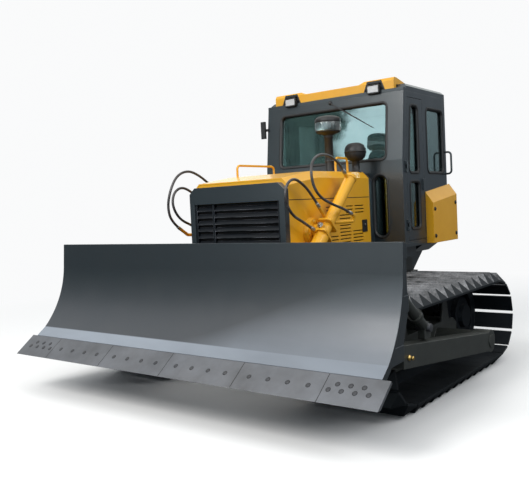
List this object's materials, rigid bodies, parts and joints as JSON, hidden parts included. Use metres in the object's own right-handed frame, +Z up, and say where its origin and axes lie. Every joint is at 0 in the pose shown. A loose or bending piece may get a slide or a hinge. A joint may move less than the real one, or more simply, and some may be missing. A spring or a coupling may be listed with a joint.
{
  "type": "bulldozer",
  "caption": "Swamp bulldozer with wide ridged track shoes, a curved blade on outside push arms, twin lift cylinders, louvred hood and a glazed cab with swinging doors.",
  "frame": {"origin": "on the ground under the middle of the machine's length and width", "axes": "+Z up, the blade faces -Y, the machine's left side is +X"},
  "size_m": [4.15, 4.9, 3.11],
  "materials": {
    "yellow_paint": "semi-gloss",
    "charcoal_paint": "satin",
    "cast_steel": "rough",
    "worn_steel": "worn",
    "rod_chrome": "polished",
    "tinted_glass": "clear",
    "black_trim": "matt",
    "hose_rubber": "braided",
    "lamp_lens": "gloss",
    "seat_cloth": "woven"
  },
  "bodies": {
    "machine": {"air_precleaner": "black_trim", "battery_box": "yellow_paint", "cab_floor": "charcoal_paint", "cab_front": "charcoal_paint", "cab_glass": "tinted_glass", "cab_rear": "charcoal_paint", "cab_roof": "charcoal_paint", "cab_side_left": "charcoal_paint", "cab_side_right": "charcoal_paint", "console": "black_trim", "cowl": "charcoal_paint", "cylinder_brackets": "charcoal_paint", "drawbar": "charcoal_paint", "engine_block": "cast_steel", "engine_sides": "yellow_paint", "equalizer_bar": "charcoal_paint", "exhaust_stack": "black_trim", "final_drives": "charcoal_paint", "fuel_tank": "yellow_paint", "grab_rails": "charcoal_paint", "grille": "charcoal_paint", "hood": "yellow_paint", "hood_rails": "yellow_paint", "hydraulic_tank": "yellow_paint", "idlers": "cast_steel", "main_frame": "charcoal_paint", "mirror": "black_trim", "radiator_guard": "charcoal_paint", "rear_case": "cast_steel", "rollers": "cast_steel", "roof_visor": "yellow_paint", "seat": "seat_cloth", "sprockets": "cast_steel", "track_frame_left": "charcoal_paint", "track_frame_right": "charcoal_paint", "track_left": "cast_steel", "track_right": "cast_steel", "work_lamps": "lamp_lens"},
    "blade": {"moldboard": "charcoal_paint", "cutting_edges": "worn_steel", "push_arms": "charcoal_paint", "blade_braces": "charcoal_paint"},
    "lift_barrel_left": {"lift_barrel_left": "yellow_paint", "hose_cap_left": "hose_rubber", "hose_yoke_left": "hose_rubber"},
    "lift_barrel_right": {"lift_barrel_right": "yellow_paint", "hose_cap_right": "hose_rubber", "hose_yoke_right": "hose_rubber"},
    "lift_rod_left": {"lift_rod_left": "rod_chrome"},
    "lift_rod_right": {"lift_rod_right": "rod_chrome"},
    "door_left": {"door_left": "charcoal_paint", "door_glass_left": "tinted_glass"},
    "door_right": {"door_right": "charcoal_paint", "door_glass_right": "tinted_glass"}
  },
  "joints": [
    {"name": "blade_lift", "type": "hinge", "parent": "machine", "child": "blade", "pos_m": [0, -0.08, 0.4], "axis": [-1, 0, 0], "range_deg": [-22, 16]},
    {"name": "lift_barrel_left_pitch", "type": "hinge", "parent": "machine", "child": "lift_barrel_left", "pos_m": [0.735, -0.91, 1.495], "axis": [-1, 0, 0], "range_deg": [-17.52, 13.01]},
    {"name": "lift_rod_left_slide", "type": "slide", "parent": "lift_barrel_left", "child": "lift_rod_left", "axis": [0, -0.7226, -0.6913], "range_m": [-0.3811, 0.5221]},
    {"name": "lift_barrel_right_pitch", "type": "hinge", "parent": "machine", "child": "lift_barrel_right", "pos_m": [-0.735, -0.91, 1.495], "axis": [-1, 0, 0], "range_deg": [-17.52, 13.01]},
    {"name": "lift_rod_right_slide", "type": "slide", "parent": "lift_barrel_right", "child": "lift_rod_right", "axis": [0, -0.7226, -0.6913], "range_m": [-0.3811, 0.5221]},
    {"name": "door_left_swing", "type": "hinge", "parent": "machine", "child": "door_left", "pos_m": [0.934, 0.513, 1.8], "axis": [0, 0, -1], "range_deg": [0, 95]},
    {"name": "door_right_swing", "type": "hinge", "parent": "machine", "child": "door_right", "pos_m": [-0.934, 0.513, 1.8], "axis": [0, 0, 1], "range_deg": [0, 95]}
  ],
  "couplings": [
    {"joint": "lift_barrel_left_pitch", "follows": "blade_lift", "ratio": 0.7509},
    {"joint": "lift_rod_left_slide", "follows": "blade_lift", "m_per_rad": -1.3468},
    {"joint": "lift_barrel_right_pitch", "follows": "blade_lift", "ratio": 0.7509},
    {"joint": "lift_rod_right_slide", "follows": "blade_lift", "m_per_rad": -1.3468}
  ]
}
